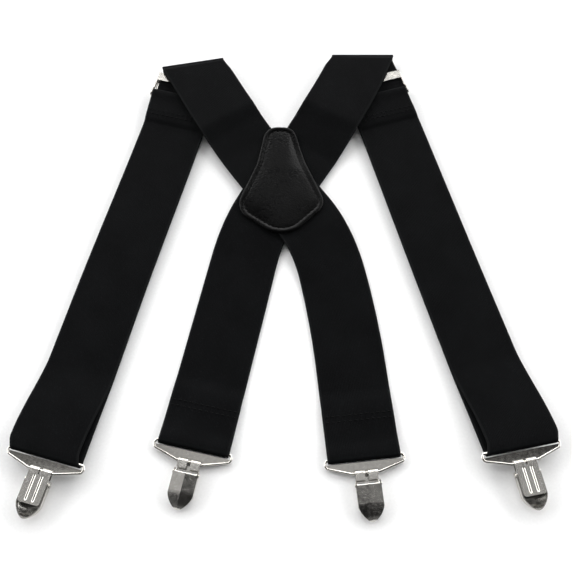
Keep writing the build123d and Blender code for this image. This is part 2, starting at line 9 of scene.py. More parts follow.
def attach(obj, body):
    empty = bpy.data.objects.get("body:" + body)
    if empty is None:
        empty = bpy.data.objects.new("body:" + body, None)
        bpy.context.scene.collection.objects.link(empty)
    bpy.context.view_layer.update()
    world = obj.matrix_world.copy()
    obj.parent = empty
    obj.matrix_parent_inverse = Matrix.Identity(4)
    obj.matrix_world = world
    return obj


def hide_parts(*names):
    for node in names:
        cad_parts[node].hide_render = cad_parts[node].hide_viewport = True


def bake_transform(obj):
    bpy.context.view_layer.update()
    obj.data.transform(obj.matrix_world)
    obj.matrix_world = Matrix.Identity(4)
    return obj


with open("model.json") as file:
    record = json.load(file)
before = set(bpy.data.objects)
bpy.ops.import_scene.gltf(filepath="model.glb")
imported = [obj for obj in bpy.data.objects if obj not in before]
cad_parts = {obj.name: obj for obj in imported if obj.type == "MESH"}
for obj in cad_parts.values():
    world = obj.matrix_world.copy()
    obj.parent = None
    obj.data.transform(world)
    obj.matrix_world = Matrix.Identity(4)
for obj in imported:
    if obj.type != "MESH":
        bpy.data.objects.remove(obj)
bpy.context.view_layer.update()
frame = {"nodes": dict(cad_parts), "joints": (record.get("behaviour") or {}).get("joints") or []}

MM = 0.001
JOINTS = {joint["name"]: joint for joint in frame["joints"]}

# ---------------------------------------------------------------- sizes, in millimetres
WEB_WIDTH = 50.0
WEB_THICK = 1.3
LAYER_GAP = 0.15
FIT = 0.05
RING_BAR_R = 1.0
ROD_R = 0.6
FRONT_BOTTOM = 1.5
ARM_BOTTOM = 7.1
BAR_MID = RING_BAR_R + FIT + WEB_THICK / 2      # middle of the webbing round a ring's bar
ROD_MID = ROD_R + FIT + WEB_THICK / 2           # and round an adjuster's rod
FRONT_MID = FRONT_BOTTOM + WEB_THICK / 2        # height of the front straps' lower layer
RETURN_MID = FRONT_MID + WEB_THICK + LAYER_GAP  # and of the layer that comes back up
WEB_STEPS = 24            # divisions across a face of the webbing
EDGE_POINTS = 4           # points round each of its edges
RUN_STEP = 2.0            # distance between the rows of the webbing, along its long runs
LOOP_STEP = 1.5           # and where it turns round a bar or a rod

# A front strap, by distance above its ring's bar.
WEDGE = (6.0, 60.0)       # the two layers draw apart between these
RUN_LEVEL = 66.0          # the lower one is level from here
RETURN_LEVEL = 68.0       # and the upper one from here

# The hem round an adjuster's rod, by distance below the rod.
ROD_BELOW_CLAMP = 16.0
HEM_RISE = (31.0, 29.0, 25.0)   # the upper layer climbs on to the turned tail
HEM_ROD_RISE = (8.0, 2.0)       # and from the tail to the top of the rod
HEM_TAIL = 23.0

# How the front straps lie, apart from straight.
LAYER_SHIFT = (0.3, 4.0)  # outward slip of the lower and the upper layer above a front ring
SHIFT_TURN = (-3.0, 10.0)       # the slip passes from one to the other round the bar
SHIFT_FADE = (14.0, 72.0)       # and fades between these distances from it
SLANT_FADE = (20.0, 80.0)       # the slant of the ring's bar fades between these distances
BOW = {"left": 2.0, "right": 0.7}   # sideways bow below the fold
BOW_RISE = 35.0           # it grows over this distance
BOW_FADE = (60.0, 220.0)  # and fades between these distances below the fold
FOLD_LENGTH = 51.6
FOLD_TAPER = 22.0         # each strap is drawn in to the fold's length over this distance

# Paths of the two back straps, the same as in the frame: start, heading, legs of (length, turn),
# the heading where they cross, and (distance back up from the crossing, height) levels.
CROSSING = Vector((1.0, -8.0))
BACK_STRAPS = {
    "left": {
        "start": (-74.0, 108.6), "heading": -60.7, "cross_heading": -57.0, "ends_at": "right_rear",
        "legs": [(38, 0), (74, 6.7), (51, 0), (57, -23.6), (74, -6.4), (65, 0)],
        "levels": [
            (200, ARM_BOTTOM), (79, ARM_BOTTOM), (67, 4.3), (45, 2.75), (-44, 2.75), (-80, 0), (-300, 0),
        ],
    },
    "right": {
        "start": (68.4, 117.7), "heading": -115.5, "cross_heading": -119.0, "ends_at": "left_rear",
        "legs": [(28, 0), (69, -6.5), (55, 0), (60, 19.4), (144, 0)],
        "levels": [
            (200, ARM_BOTTOM), (78, ARM_BOTTOM), (65, 4.4), (42, 1.25), (-44, 1.25), (-67, 0), (-300, 0),
        ],
    },
}
REAR_LOOP = 50.0          # stretch of a back strap that is shaped by its ring
REAR_TAIL = 34.0
REAR_RISE = (46.0, 36.0)  # it climbs on to its sewn tail between these distances from the bar
REAR_BAR_RISE = (14.0, 4.0)     # and from the tail to the top of the bar

PATCH_CORNERS = [
    ((-13.2, 47.8), 12), ((9.3, 47.8), 10), ((18.6, 14.5), 30), ((34.6, -23.5), 13),
    ((2, -54), 22), ((-36.8, -27), 15), ((-20, 13), 30),
]
PATCH_CENTRE = Vector((0, -8))
LEATHER = 1.2
PATCH_PAD_TOP = 7.0
PATCH_GROOVE = 4.2        # the seam, this far inside the patch's edge
PATCH_STEP = 1.6          # distance between the points round the patch
RIM = [                   # section of the rolled rim: distance inside the edge, and rise
    (2.6, 0.0), (0.5, 0.05), (0.0, 0.45), (0.1, 1.0), (0.6, 1.55), (1.4, 1.85), (2.4, 1.75),
    (3.3, 1.35), (3.9, 1.02), (PATCH_GROOVE, 0.98), (4.6, 1.08),
]
RIM_STIFFNESS = 0.006     # how fast the rim may fall away from its supports, per square millimetre
PAD_INSET = 5.0           # the padded middle starts here, at the next rise
PAD_RISE = 1.25
PAD_RINGS = 14
PAD_CROWN = (1.25, 2.6)   # how soon and how steeply the middle swells to its full height
PAD_WAVES = (0.11, 0.16)  # its slight waves: how many to a millimetre, and their height
LINING = [                # section of the under leather's edge: distance inside the edge, and height
    (3.0, 0.0), (0.5, 0.0), (0.12, 0.15), (0.0, 0.5), (0.1, 0.95), (0.5, LEATHER), (3.0, LEATHER),
]
PAD_GAP = 0.1             # air under the outer leather where it lies on the lining
STRAP_GAP = 0.15          # and where it lies on a strap
STRAP_DROP = (0.3, 3.5)   # it comes down off a strap between these distances outside its edge

STITCH_LENGTH = 2.6
STITCH_PITCH = 4.0
STITCH_R = 0.3
STITCH_SIDES = 6
SEAM_HALF = 22.0          # a seam across a strap reaches this far from its centre line
SEAM_STITCHES = 12
REAR_SEAMS = (26.0, 30.0)       # distances of the seams from a rear ring's bar
HEM_SEAMS = (-34.0, -37.5)      # and from an adjuster's clamp
PATCH_SEAM_RISE = 1.02

# The camera looks down at the layout from the front.
CAMERA_AIM = Vector((3.5, -90, 0))
CAMERA_DISTANCE = 589.9
CAMERA_TILT = 23.0
CAMERA_LENS = 49.6624
FLOOR_DROP = 0.2          # the floor lies this far below the object


# ---------------------------------------------------------------- helpers
def direction(angle):
    return Vector((cos(radians(angle)), sin(radians(angle))))


def smoothstep(low, high, value):
    t = min(1.0, max(0.0, (value - low) / (high - low)))
    return t * t * (3 - 2 * t)


def fade_out(distance, reach):
    """1 at no distance, falling evenly to 0 at the reach."""
    return max(0.0, 1 - distance / reach)


def interpolate(pairs, value):
    """Height at a distance, from (distance, height) pairs with falling distances."""
    for (far, far_height), (near, near_height) in zip(pairs, pairs[1:]):
        if value >= near:
            share = (value - near) / (far - near)
            return near_height + (far_height - near_height) * min(1.0, share)
    return pairs[-1][1]


def finished_mesh(name, shape):
    """Mesh from a bmesh, which is freed."""
    mesh = bpy.data.meshes.new(name)
    shape.to_mesh(mesh)
    shape.free()
    return mesh


def new_object(name, mesh, material):
    """Object with its mesh scaled from millimetres, smooth shading and a finish."""
    mesh.transform(Matrix.Scale(MM, 4))
    mesh.materials.append(material)
    mesh.shade_smooth()
    piece = bpy.data.objects.new(name, mesh)
    bpy.context.scene.collection.objects.link(piece)
    return piece


# ---------------------------------------------------------------- materials
class Shader:
    """Short way to write a node material around one Principled shader."""

    def __init__(self, name):
        self.material = bpy.data.materials.new(name)
        self.material.use_nodes = True
        self.nodes = self.material.node_tree.nodes
        self.links = self.material.node_tree.links
        self.surface = self.nodes["Principled BSDF"]

    def set(self, **values):
        for key, value in values.items():
            self.surface.inputs[key.replace("_", " ")].default_value = value

    def node(self, kind, inputs=(), **settings):
        """Node of a kind; inputs are (socket, value or output socket) pairs."""
        node = self.nodes.new("ShaderNode" + kind)
        for key, value in settings.items():
            setattr(node, key, value)
        for socket, value in inputs:
            if isinstance(value, bpy.types.NodeSocket):
                self.links.new(value, node.inputs[socket])
            else:
                node.inputs[socket].default_value = value
        return node

    def math(self, operation, first, second=0.0):
        return self.node("Math", [(0, first), (1, second)], operation=operation).outputs[0]

    def ramp(self, value, stops):
        """Colour ramp with (position, grey or colour) stops."""
        node = self.node("ValToRGB", [("Fac", value)])
        while len(node.color_ramp.elements) < len(stops):
            node.color_ramp.elements.new(0.5)
        for element, (position, colour) in zip(node.color_ramp.elements, stops):
            element.position = position
            element.color = (*colour, 1) if hasattr(colour, "__len__") else (colour, colour, colour, 1)
        return node.outputs["Color"]

    def place(self):
        """Position in the object, which is in metres."""
        return self.node("TexCoord").outputs["Object"]

    def noise(self, place, scale, detail):
        inputs = [("Vector", place), ("Scale", scale), ("Detail", detail)]
        return self.node("TexNoise", inputs).outputs["Fac"]

    def mix(self, share, first, second, blend_type="MIX"):
        inputs = [(0, share), (6, first), (7, second)]
        return self.node("Mix", inputs, data_type="RGBA", blend_type=blend_type).outputs[2]

    def bump(self, height, distance, under=None):
        inputs = [("Height", height), ("Distance", distance), ("Strength", 1.0)]
        if under is not None:
            inputs.append(("Normal", under))
        return self.node("Bump", inputs).outputs["Normal"]

    def plug(self, socket, output):
        self.links.new(output, self.surface.inputs[socket])


def weave_height(shader, across, along):
    """Cross ribs that step by half a pitch over fine lengthwise cords, from 0 to 1."""
    cord_pitch, rib_pitch = 1.1 * MM, 0.8 * MM
    cords = shader.math("SINE", shader.math("MULTIPLY", across, 2 * pi / cord_pitch))
    half_step = shader.math("MULTIPLY", shader.math("SIGN", cords), pi / 2)
    turns = shader.math("MULTIPLY", along, 2 * pi / rib_pitch)
    ribs = shader.math("SINE", shader.math("ADD", turns, half_step))
    both = shader.math("ADD", shader.math("MULTIPLY", cords, 0.25), shader.math("MULTIPLY", ribs, 0.25))
    return shader.math("ADD", both, 0.5)


def webbing_material():
    """Black elastic webbing: a ribbed weave with lint and wear, and a painted sheen along both edges."""
    shader = Shader("webbing")
    shader.set(Roughness=0.85, Sheen_Weight=0.01, Sheen_Roughness=0.4, Specular_IOR_Level=0.04)
    cloth = shader.node("UVMap", uv_map="cloth").outputs["UV"]
    split = shader.node("SeparateXYZ", [("Vector", cloth)])
    across = split.outputs["X"]
    weave = weave_height(shader, across, split.outputs["Y"])
    lint = shader.noise(shader.place(), 900.0, 3.0)
    wear = shader.noise(shader.place(), 38.0, 4.0)
    dark = shader.ramp(weave, [(0.15, (0.0010, 0.0011, 0.0013)), (0.9, (0.0028, 0.0031, 0.0034))])
    fuzz = shader.ramp(lint, [(0.58, (0, 0, 0)), (0.8, (0.005, 0.005, 0.0054))])
    worn = shader.ramp(wear, [(0.35, (0, 0, 0)), (0.75, (0.0012, 0.0013, 0.0014))])
    colour = shader.mix(1.0, dark, fuzz, "ADD")
    colour = shader.mix(1.0, colour, worn, "ADD")
    # Painted sheen: a paler band along both edges of the webbing, where its rounded edges would catch the
    # light.
    edge_sheen_from = (WEB_WIDTH / 2 - 1.6) * MM
    edge_sheen = shader.math("GREATER_THAN", shader.math("ABSOLUTE", across), edge_sheen_from)
    sheen_grey = (0.0075, 0.0078, 0.0082, 1)
    shader.plug("Base Color", shader.mix(shader.math("MULTIPLY", edge_sheen, 0.7), colour, sheen_grey))
    rough = shader.bump(lint, 0.03 * MM)
    shader.plug("Normal", shader.bump(weave, 0.12 * MM, under=rough))
    return shader.material


def leather_material():
    """Black pebbled leather with a soft shine that breaks up over the grain."""
    shader = Shader("patch_leather")
    shader.set(Specular_IOR_Level=0.065)
    place = shader.place()
    warp = shader.node("TexNoise", [("Vector", place), ("Scale", 260.0), ("Detail", 2.0)]).outputs["Color"]
    bent = shader.node("Mix", [(0, 0.0012), (4, place), (5, warp)], data_type="VECTOR").outputs[1]
    cells = shader.node("TexVoronoi", [("Vector", bent), ("Scale", 720.0)], feature="F1").outputs["Distance"]
    creases = shader.node("TexVoronoi", [("Vector", bent), ("Scale", 430.0)], feature="DISTANCE_TO_EDGE")
    creases = shader.ramp(creases.outputs["Distance"], [(0.0, 0.0), (0.12, 1.0)])
    pores = shader.noise(place, 2600.0, 2.0)
    patches = shader.noise(place, 60.0, 3.0)
    colour = shader.ramp(cells, [(0.1, (0.0034, 0.0034, 0.0035)), (0.8, (0.0016, 0.0016, 0.0017))])
    shader.plug("Base Color", colour)
    shader.plug("Roughness", shader.ramp(patches, [(0.3, 0.22), (0.7, 0.34)]))
    fine = shader.bump(pores, 0.03 * MM)
    deep = shader.bump(creases, 0.04 * MM, under=fine)
    shader.plug("Normal", shader.bump(cells, -0.13 * MM, under=deep))
    return shader.material


def plated_material(name, colour, roughness, stretch, dent=0.03):
    """Bright plate with faint polishing lines, small dents and slightly dull spots."""
    shader = Shader(name)
    shader.set(Metallic=1.0)
    place = shader.place()
    lines = shader.node("Mapping", [("Vector", place), ("Scale", stretch)]).outputs["Vector"]
    scratches = shader.noise(lines, 900.0, 5.0)
    dents = shader.noise(place, 170.0, 1.5)
    dull = shader.noise(place, 420.0, 4.0)
    shader.plug("Base Color", shader.ramp(dull, [(0.3, [0.86 * c for c in colour]), (0.7, colour)]))
    shader.plug("Roughness", shader.ramp(dull, [(0.3, roughness), (0.75, 1.75 * roughness)]))
    soft = shader.bump(dents, dent * MM)
    shader.plug("Normal", shader.bump(scratches, 0.004 * MM, under=soft))
    return shader.material


def thread_material():
    """Twisted black thread."""
    shader = Shader("thread")
    shader.set(Roughness=0.7, Sheen_Weight=0.01, Specular_IOR_Level=0.06)
    twist = shader.noise(shader.place(), 3000.0, 1.0)
    shader.plug("Base Color", shader.ramp(twist, [(0.3, 0.0015), (0.7, 0.004)]))
    shader.plug("Normal", shader.bump(twist, 0.05 * MM))
    return shader.material


def grip_material():
    """Matt moulded plastic of the jaw pads."""
    shader = Shader("grip_plastic")
    shader.set(Specular_IOR_Level=0.4)
    grain = shader.noise(shader.place(), 2400.0, 3.0)
    shader.plug("Base Color", shader.ramp(grain, [(0.3, 0.018), (0.7, 0.03)]))
    shader.plug("Roughness", shader.ramp(grain, [(0.3, 0.5), (0.7, 0.65)]))
    shader.plug("Normal", shader.bump(grain, 0.02 * MM))
    return shader.material


def floor_material():
    """Pale matt board with a barely visible tooth."""
    shader = Shader("floor")
    shader.set(Roughness=0.9, Specular_IOR_Level=0.1)
    grain = shader.noise(shader.place(), 600.0, 3.0)
    shader.plug("Base Color", shader.ramp(grain, [(0.3, 0.86), (0.7, 0.9)]))
    return shader.material


# ---------------------------------------------------------------- webbing
def web_section():
    """Outline of the webbing's cross-section as (across, up), with round edges."""
    half, edge = WEB_WIDTH / 2, WEB_THICK / 2
    inner = half - edge
    top = [(-inner + 2 * inner * i / WEB_STEPS, edge) for i in range(WEB_STEPS + 1)]
    angles = [pi / 2 - pi * i / (EDGE_POINTS + 1) for i in range(1, EDGE_POINTS + 1)]
    right = [(inner + edge * cos(a), edge * sin(a)) for a in angles]
    bottom = [(u, -edge) for u, _ in reversed(top)]
    left = [(-u, h) for u, h in reversed(right)]
    return top + right + bottom + left


def cap(shape, ring, flip):
    """Faces over an end of a strip: quads between its flat sides, and one polygon at each edge."""
    side = WEB_STEPS + 1
    top = ring[:side]
    right = ring[side:side + EDGE_POINTS]
    bottom = ring[side + EDGE_POINTS:2 * side + EDGE_POINTS][::-1]
    left = ring[2 * side + EDGE_POINTS:]
    faces = [(top[i], top[i + 1], bottom[i + 1], bottom[i]) for i in range(WEB_STEPS)]
    faces.append((top[-1], *right, bottom[-1]))
    faces.append((bottom[0], *left, top[0]))
    for face in faces:
        shape.faces.new(face[::-1] if flip else face)


def web_mesh(name, rows, lengths):
    """Closed strip through rows of section points; its UVs are metres across and along."""
    section = web_section()
    count = len(section)
    shape = bmesh.new()
    cloth = shape.loops.layers.uv.new("cloth")
    rings = [[shape.verts.new(point) for point in row] for row in rows]
    where = {}
    for ring, length in zip(rings, lengths):
        for vertex, (across, _) in zip(ring, section):
            where[vertex] = (across * MM, length * MM)
    for ring, following in zip(rings, rings[1:]):
        for i in range(count):
            j = (i + 1) % count
            shape.faces.new((ring[i], following[i], following[j], ring[j]))
    cap(shape, rings[0], False)
    cap(shape, rings[-1], True)
    bmesh.ops.recalc_face_normals(shape, faces=shape.faces)
    for face in shape.faces:
        for loop in face.loops:
            loop[cloth].uv = where[loop.vert]
    return finished_mesh(name, shape)


def walk_profile(points, step):
    """Points every step along a polyline of (y, z), with the distance and the normal at each."""
    walked, travelled = [], 0.0
    for (y0, z0), (y1, z1) in zip(points, points[1:]):
        piece = Vector((y1 - y0, z1 - z0))
        parts = max(1, round(piece.length / step))
        for i in range(parts):
            walked.append((Vector((y0, z0)) + piece * (i / parts), travelled + piece.length * i / parts))
        travelled += piece.length
    walked.append((Vector(points[-1]), travelled))
    result = []
    for i, (point, distance) in enumerate(walked):
        before = walked[max(0, i - 1)][0]
        after = walked[min(len(walked) - 1, i + 1)][0]
        tangent = (after - before).normalized()
        result.append((point, distance, Vector((tangent.y, -tangent.x))))
    return result


def eased(points, passes=2):
    """Corner cutting, which keeps the first and last points."""
    for _ in range(passes):
        cut = [points[0]]
        for (y0, z0), (y1, z1) in zip(points, points[1:]):
            cut.append((y0 * 0.75 + y1 * 0.25, z0 * 0.75 + z1 * 0.25))
            cut.append((y0 * 0.25 + y1 * 0.75, z0 * 0.25 + z1 * 0.75))
        points = [*cut, points[-1]]
    return points


def arc(centre, radius, first, last, steps=10):
    """Points (y, z) on an arc, between two angles measured from +y towards +z."""
    angles = [radians(first + (last - first) * i / steps) for i in range(steps + 1)]
    return [(centre[0] + radius * cos(a), centre[1] + radius * sin(a)) for a in angles]


def no_shift(distance):
    return 0.0


def no_skew(across, y):
    return Vector((0, 0))


def profile_rows(walked, origin, up_strap, shift=no_shift, skew=no_skew):
    """Section rows of a strap that follows a (y, z) profile; y runs up the strap."""
    x_axis = Vector((-up_strap.y, up_strap.x, 0))
    y_axis = Vector((up_strap.x, up_strap.y, 0))
    rows = []
    for point, distance, normal in walked:
        row = []
        for across, high in web_section():
            y = point.x + normal.x * high
            z = point.y + normal.y * high
            spot = origin + x_axis * (across + shift(distance)) + y_axis * y + Vector((0, 0, z))
            row.append(spot + skew(across, point.x).to_3d())
        rows.append(row)
    return rows


def joint_point(name):
    return Vector(JOINTS[name]["pos_m"]) / MM


def leg_point(start, heading, leg, offset, fraction):
    """Point beside a leg of a path, at a fraction of its length and an offset to its left."""
    length, turn = leg
    side = direction(heading + 90)
    if turn == 0:
        return start + direction(heading) * (length * fraction) + side * offset
    radius = length / radians(turn)
    centre = start + side * radius
    return centre - direction(heading + turn * fraction + 90) * (radius - offset)


def strap_height(strap, point):
    """Eased height of a back strap's underside at a point of the plan."""
    back_up = -(point - CROSSING).dot(direction(strap["cross_heading"]))
    samples = [interpolate(strap["levels"], back_up + shift) for shift in (-2, -1, 0, 1, 2)]
    return sum(samples) / len(samples)


def fold_line(side):
    """Point on a shoulder's fold line, its direction, and the way beyond it."""
    joint = JOINTS[f"{side}_shoulder_fold"]
    along = Vector(joint["axis"]).to_2d()
    return joint_point(joint["name"]), along, Vector((-along.y, along.x))


def back_rows(side):
    """Rows of a back strap from its fold, over the crossing, to its rear loop, and its heading there."""
    strap = BACK_STRAPS[side]
    fold, along, _ = fold_line(side)
    point, heading = Vector(strap["start"]), strap["heading"]
    rows, lengths, travelled = [], [], 0.0
    legs = [*strap["legs"][:-1], (strap["legs"][-1][0] - REAR_LOOP, strap["legs"][-1][1])]
    for number, leg in enumerate(legs):
        parts = max(2, round(leg[0] / RUN_STEP))
        for i in range(parts):
            share = i / parts
            row = []
            for across, high in web_section():
                spot = leg_point(point, heading, leg, -across, share)
                if number == 0:
                    at_fold = fold.to_2d() - along * (across * FOLD_LENGTH / WEB_WIDTH)
                    start = leg_point(point, heading, leg, -across, 0)
                    spot += (at_fold - start) * fade_out(leg[0] * share, FOLD_TAPER)
                height = strap_height(strap, spot) + WEB_THICK / 2 + high
                row.append(Vector((spot.x, spot.y, height)))
            rows.append(row)
            lengths.append(travelled + leg[0] * share)
        travelled += leg[0]
        point, heading = leg_point(point, heading, leg, 0, 1), heading + leg[1]
    return rows, lengths, heading


def rear_loop_profile(bar_height):
    """(y, z) from the loop's start, over the turned tail, round the bar and back under."""
    flat = -bar_height + WEB_THICK / 2
    over_tail = -BAR_MID + WEB_THICK + LAYER_GAP
    upper = eased([
        (REAR_LOOP, flat), (REAR_RISE[0], flat), (REAR_RISE[1], over_tail),
        (REAR_BAR_RISE[0], over_tail), (REAR_BAR_RISE[1], BAR_MID), (0, BAR_MID),
    ])
    turn = arc((0, 0), BAR_MID, 90, 270)
    return upper + turn[1:] + [(REAR_TAIL, -BAR_MID)]


def back_strap(side, material):
    """One back strap as a single strip of webbing."""
    rows, lengths, heading = back_rows(side)
    bar = joint_point(f"{BACK_STRAPS[side]['ends_at']}_ring_swing")
    walked = walk_profile(rear_loop_profile(bar.z), LOOP_STEP)
    rows += profile_rows(walked, bar, -direction(heading))
    lengths += [lengths[-1] + RUN_STEP + distance for _, distance, _ in walked]
    piece = new_object(f"{side}_back_strap", web_mesh("back_strap", rows, lengths), material)
    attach(piece, "back")
    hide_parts(f"{side}_back_webbing")


def front_profile(side):
    """(y, z) of a whole front strap above its ring's bar: its lower run, and from there back up."""
    bar = joint_point(f"{side}_front_ring_swing")
    fold = joint_point(f"{side}_shoulder_fold")
    clamp = joint_point(f"{side}_adjuster_clamp_hinge")
    length = (fold - bar).to_2d().length
    lower = FRONT_MID - bar.z
    upper = RETURN_MID - bar.z
    rod_y = (clamp - bar).to_2d().length - ROD_BELOW_CLAMP
    rod_z = upper + ROD_MID
    over_tail = upper + WEB_THICK + LAYER_GAP
    run = [(length, lower), (length - FOLD_TAPER, lower), (RUN_LEVEL, lower)]
    run += eased([(RUN_LEVEL, lower), (WEDGE[1], lower), (WEDGE[0], -BAR_MID), (0, -BAR_MID)])[1:]
    back = arc((0, 0), BAR_MID, 270, 90)
    back += eased([(0, BAR_MID), (WEDGE[0], BAR_MID), (WEDGE[1], upper), (RETURN_LEVEL, upper)])[1:]
    hem = [
        (rod_y - HEM_RISE[0], upper), (rod_y - HEM_RISE[1], upper), (rod_y - HEM_RISE[2], over_tail),
        (rod_y - HEM_ROD_RISE[0], over_tail), (rod_y - HEM_ROD_RISE[1], rod_z + ROD_MID),
        (rod_y, rod_z + ROD_MID),
    ]
    back += eased(hem)
    back += arc((rod_y, rod_z), ROD_MID, 90, -90)[1:]
    back += [(rod_y - HEM_TAIL, upper)]
    return run, back, bar, length


def layer_shift(side, from_turn):
    """Sideways slip of the webbing at a distance past the middle of its turn round the ring."""
    outward = 1 if side == "left" else -1
    lower, upper = LAYER_SHIFT
    slip = lower + (upper - lower) * smoothstep(*SHIFT_TURN, from_turn)
    return outward * slip * (1 - smoothstep(*SHIFT_FADE, abs(from_turn)))


def up_front_strap(side):
    """Directions up a front strap and across it."""
    up_strap = -Vector(JOINTS[f"{side}_strap_length"]["axis"]).to_2d()
    return up_strap, Vector((-up_strap.y, up_strap.x))


def follow_bar(side, across, y):
    """Pull up or down the strap that keeps it on the ring's slanting bar."""
    up_strap, x_axis = up_front_strap(side)
    bar_line = Vector(JOINTS[f"{side}_front_ring_swing"]["axis"]).to_2d()
    slope = bar_line.dot(up_strap) / bar_line.dot(x_axis)
    return up_strap * (across * slope * (1 - smoothstep(*SLANT_FADE, y)))


def bow(side, down, start):
    """Slight sideways bow at a distance below the fold, which begins at the start."""
    _, x_axis = up_front_strap(side)
    rise = smoothstep(start, start + BOW_RISE, down)
    return -x_axis * (BOW[side] * rise * (1 - smoothstep(*BOW_FADE, down)))


def front_run(side, material):
    """Lower layer of a front strap, from the fold line to the underside of the ring's bar."""
    run, _, bar, length = front_profile(side)
    up_strap, x_axis = up_front_strap(side)
    _, along, _ = fold_line(side)
    walked = walk_profile(run, RUN_STEP)
    turn_at = walked[-1][1] + BAR_MID * pi / 2

    def skew(across, y):
        """Pull of the top end to the fold line, the bow below it, and the slant at the ring."""
        down = length - y
        to_fold = -along * (across * FOLD_LENGTH / WEB_WIDTH) - x_axis * across
        return to_fold * fade_out(down, FOLD_TAPER) + bow(side, down, 0) + follow_bar(side, across, y)

    rows = profile_rows(walked, bar, up_strap, lambda s: layer_shift(side, s - turn_at), skew)
    lengths = [distance for _, distance, _ in walked]
    piece = new_object(f"{side}_front_run", web_mesh("front_run", rows, lengths), material)
    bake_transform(piece)
    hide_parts(f"{side}_front_webbing")
    return piece, lengths[-1]


def front_return(side, material, run_length):
    """Layer that comes round the ring's bar and back up, to the hem round the adjuster's rod."""
    _, back, bar, length = front_profile(side)
    up_strap, _ = up_front_strap(side)
    clamp = joint_point(f"{side}_adjuster_clamp_hinge")
    rod_down = length - (clamp - bar).to_2d().length + ROD_BELOW_CLAMP
    walked = walk_profile(back, LOOP_STEP)

    def skew(across, y):
        """The bow begins below the rod, where the flanges no longer hold the webbing."""
        return bow(side, length - y, rod_down) + follow_bar(side, across, y)

    rows = profile_rows(walked, bar, up_strap, lambda s: layer_shift(side, s - BAR_MID * pi / 2), skew)
    lengths = [run_length + distance for _, distance, _ in walked]
    piece = new_object(f"{side}_front_return", web_mesh("front_return", rows, lengths), material)
    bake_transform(piece)
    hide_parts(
        f"{side}_front_loop_webbing", f"{side}_front_return_webbing", f"{side}_front_hem_webbing",
    )


def shoulder_fold(side, material):
    """Half turn of webbing at the shoulder, as it lies laid out."""
    fold, along, beyond = fold_line(side)
    radius = fold.z - FRONT_MID
    rows, lengths = [], []
    steps = 16
    for i in range(steps + 1):
        angle = radians(90 - 180 * i / steps)
        share = i / steps
        row = []
        for across, high in web_section():
            sideways = along.to_3d() * (across * FOLD_LENGTH / WEB_WIDTH)
            out = beyond.to_3d() * (cos(angle) * (radius + high))
            row.append(fold + sideways + out + Vector((0, 0, sin(angle) * (radius + high))))
        rows.append(row)
        lengths.append(radius * pi * share)
    name = f"{side}_shoulder_turn"
    piece = new_object(name, web_mesh("shoulder_turn", rows, lengths), material)
    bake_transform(piece)
    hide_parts(f"{side}_shoulder_bend")


# ---------------------------------------------------------------- stitching
def stitch_mesh(name, places):
    """Short threads that dive into the cloth at both ends; places are (middle, direction)."""
    shape = bmesh.new()
    rings = 6
    for middle, heading in places:
        across = Vector((-heading.y, heading.x, 0))
        loops = []
        for i in range(rings + 1):
            share = i / rings
            along = (share - 0.5) * STITCH_LENGTH
            lift = STITCH_R * (sin(pi * share) - 0.55)
            thick = STITCH_R * (0.75 + 0.25 * sin(pi * share))
            loop = []
            for j in range(STITCH_SIDES):
                angle = 2 * pi * j / STITCH_SIDES
                offset = across * (thick * cos(angle)) + Vector((0, 0, thick * sin(angle) + lift))
                loop.append(shape.verts.new(middle + heading.to_3d() * along + offset))
            loops.append(loop)
        for loop, following in zip(loops, loops[1:]):
            for j in range(STITCH_SIDES):
                k = (j + 1) % STITCH_SIDES
                shape.faces.new((loop[j], loop[k], following[k], following[j]))
        shape.faces.new(loops[0][::-1])
        shape.faces.new(loops[-1])
    bmesh.ops.recalc_face_normals(shape, faces=shape.faces)
    return finished_mesh(name, shape)


def stitch_rows(origin, up_strap, rows_y, top):
    """Rows of stitches across a strap."""
    across = Vector((up_strap.y, -up_strap.x))
    places = []
    for y in rows_y:
        for i in range(SEAM_STITCHES):
            middle = origin.to_2d() + up_strap * y + across * (STITCH_PITCH * i - SEAM_HALF)
            places.append((Vector((middle.x, middle.y, top)), across))
    return places


def strap_seam(name, body, node, places, material):
    seam = new_object(name, stitch_mesh("seam", places), material)
    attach(seam, body)
    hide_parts(node)


def strap_stitching(material):
    """Seams that close the rear loops and the adjusters' hems."""
    for side in ("left", "right"):
        strap = BACK_STRAPS[side]
        rear = strap["ends_at"]
        heading = strap["heading"] + sum(turn for _, turn in strap["legs"])
        bar = joint_point(f"{rear}_ring_swing")
        top = bar.z - BAR_MID + 1.5 * WEB_THICK + LAYER_GAP
        places = stitch_rows(bar, -direction(heading), REAR_SEAMS, top)
        strap_seam(f"{rear}_seam", "back", f"{rear}_stitching", places, material)
        up_strap, _ = up_front_strap(side)
        clamp = joint_point(f"{side}_adjuster_clamp_hinge")
        top = RETURN_MID + 1.5 * WEB_THICK + LAYER_GAP
        places = stitch_rows(clamp, up_strap, HEM_SEAMS, top)
        strap_seam(f"{side}_hem_seam", f"{side}_adjuster", f"{side}_front_hem_stitching", places, material)


# ---------------------------------------------------------------- back patch
def patch_outline():
    """Points round the patch's edge, anticlockwise, with rounded corners."""
    points = []
    count = len(PATCH_CORNERS)
    for i, (corner, radius) in enumerate(PATCH_CORNERS):
        corner = Vector(corner)
        before = (Vector(PATCH_CORNERS[i - 1][0]) - corner).normalized()
        after = (Vector(PATCH_CORNERS[(i + 1) % count][0]) - corner).normalized()
        half_angle = before.angle(after) / 2
        reach = radius / sin(half_angle)
        centre = corner + (before + after).normalized() * reach
        first = corner + before * (reach * cos(half_angle)) - centre
        last = corner + after * (reach * cos(half_angle)) - centre
        sweep = first.angle_signed(last)
        parts = max(3, round(abs(sweep) * radius / PATCH_STEP))
        start = atan2(first.y, first.x)
        angles = [start - sweep * k / parts for k in range(parts + 1)]
        points += [centre + radius * Vector((cos(angle), sin(angle))) for angle in angles]
    return even_loop(points, PATCH_STEP)[::-1]


